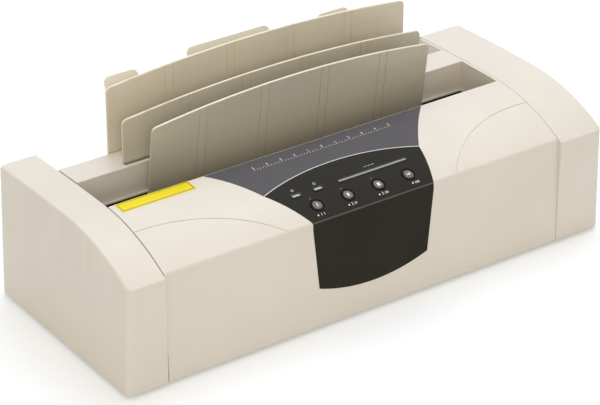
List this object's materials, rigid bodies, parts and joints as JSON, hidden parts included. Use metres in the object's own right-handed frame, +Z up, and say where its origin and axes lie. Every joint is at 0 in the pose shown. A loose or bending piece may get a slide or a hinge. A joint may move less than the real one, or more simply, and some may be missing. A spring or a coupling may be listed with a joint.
{
  "type": "thermal binding machine",
  "caption": "Desktop thermal binding machine: heated channel, sliding arched clamp plate, fixed arched plates, tabbed cooling rack, push-button panel and rear power switch.",
  "frame": {"origin": "middle of the footprint, on the surface the rubber feet stand on", "axes": "+X to the operator's right along the binding channel, +Y to the back, +Z up"},
  "size_m": [0.448, 0.186, 0.1758],
  "materials": {
    "casing_cream": "fine moulded texture",
    "pan_cream": "plain moulded",
    "plate_khaki": "smooth moulded",
    "rack_cream": "smooth moulded",
    "panel_black": "satin film",
    "panel_grey": "satin film",
    "label_yellow": "printed film, bare",
    "button_grey": "smooth domed",
    "clear_white": "diffusing",
    "lamp_white": "clear",
    "board_green": "lacquered laminate",
    "black_plastic": "fine moulded texture",
    "acetal_white": "smooth",
    "bright_steel": "rolled sheet",
    "zinc_steel": "zinc plated",
    "heater_aluminium": "extruded, dark coated",
    "mica_tan": "mica and fibre board",
    "core_steel": "varnished laminations",
    "winding_yellow": "taped winding",
    "capacitor_sleeve": "shrunk sleeve",
    "pin_brass": "plated",
    "foot_rubber": "moulded",
    "lead_sleeve": "sleeved wire"
  },
  "bodies": {
    "casing": {"main_housing": "casing_cream", "left_end_cap": "casing_cream", "right_end_cap": "casing_cream", "base_pan": "pan_cream", "middle_plate": "plate_khaki", "rear_plate": "plate_khaki", "tab_plate": "rack_cream", "black_fascia": "panel_black", "grey_overlay": "panel_grey", "yellow_label": "label_yellow", "window_lenses": "clear_white", "light_bar": "clear_white", "dot_lenses": "clear_white", "indicator_leds": "lamp_white", "control_board": "board_green", "power_board": "board_green", "tact_switches": "black_plastic", "terminal_block": "black_plastic", "buzzer": "black_plastic", "relay": "black_plastic", "power_inlet": "black_plastic", "switch_body": "black_plastic", "heater_trough": "bright_steel", "heater_brackets": "bright_steel", "guide_rods": "bright_steel", "temperature_sensor": "bright_steel", "thermal_fuse": "bright_steel", "bracket_screws": "zinc_steel", "board_screws": "zinc_steel", "power_board_screws": "zinc_steel", "housing_screws": "zinc_steel", "cap_screws": "zinc_steel", "inlet_screws": "zinc_steel", "heating_plate": "heater_aluminium", "thermostat": "heater_aluminium", "heating_element": "mica_tan", "insulation_pad": "mica_tan", "transformer_core": "core_steel", "transformer_winding": "winding_yellow", "capacitors": "capacitor_sleeve", "inlet_pins": "pin_brass", "rubber_feet": "foot_rubber", "heater_leads": "lead_sleeve", "mains_leads": "lead_sleeve", "ribbon_cable": "lead_sleeve"},
    "carriage": {"front_plate": "plate_khaki", "carriage_strip": "bright_steel", "carriage_shoes": "black_plastic", "carriage_rivets": "bright_steel"},
    "rocker": {"switch_rocker": "black_plastic"},
    "button_1_body": {"button_1": "button_grey", "plunger_1": "acetal_white"},
    "button_2_body": {"button_2": "button_grey", "plunger_2": "acetal_white"},
    "button_3_body": {"button_3": "button_grey", "plunger_3": "acetal_white"},
    "button_4_body": {"button_4": "button_grey", "plunger_4": "acetal_white"}
  },
  "joints": [
    {"name": "carriage_slide", "type": "slide", "parent": "casing", "child": "carriage", "axis": [0, 1, 0], "range_m": [-0.028, 0.005]},
    {"name": "button_1_press", "type": "slide", "parent": "casing", "child": "button_1_body", "axis": [0, 0.4161, -0.9093], "range_m": [0, 0.0008], "stiffness_N_per_m": 1500},
    {"name": "button_2_press", "type": "slide", "parent": "casing", "child": "button_2_body", "axis": [0, 0.4161, -0.9093], "range_m": [0, 0.0008], "stiffness_N_per_m": 1500},
    {"name": "button_3_press", "type": "slide", "parent": "casing", "child": "button_3_body", "axis": [0, 0.4161, -0.9093], "range_m": [0, 0.0008], "stiffness_N_per_m": 1500},
    {"name": "button_4_press", "type": "slide", "parent": "casing", "child": "button_4_body", "axis": [0, 0.4161, -0.9093], "range_m": [0, 0.0008], "stiffness_N_per_m": 1500},
    {"name": "switch_rock", "type": "hinge", "parent": "casing", "child": "rocker", "pos_m": [0.076, 0.0843, 0.037], "axis": [1, 0, 0], "range_deg": [0, 22]}
  ]
}
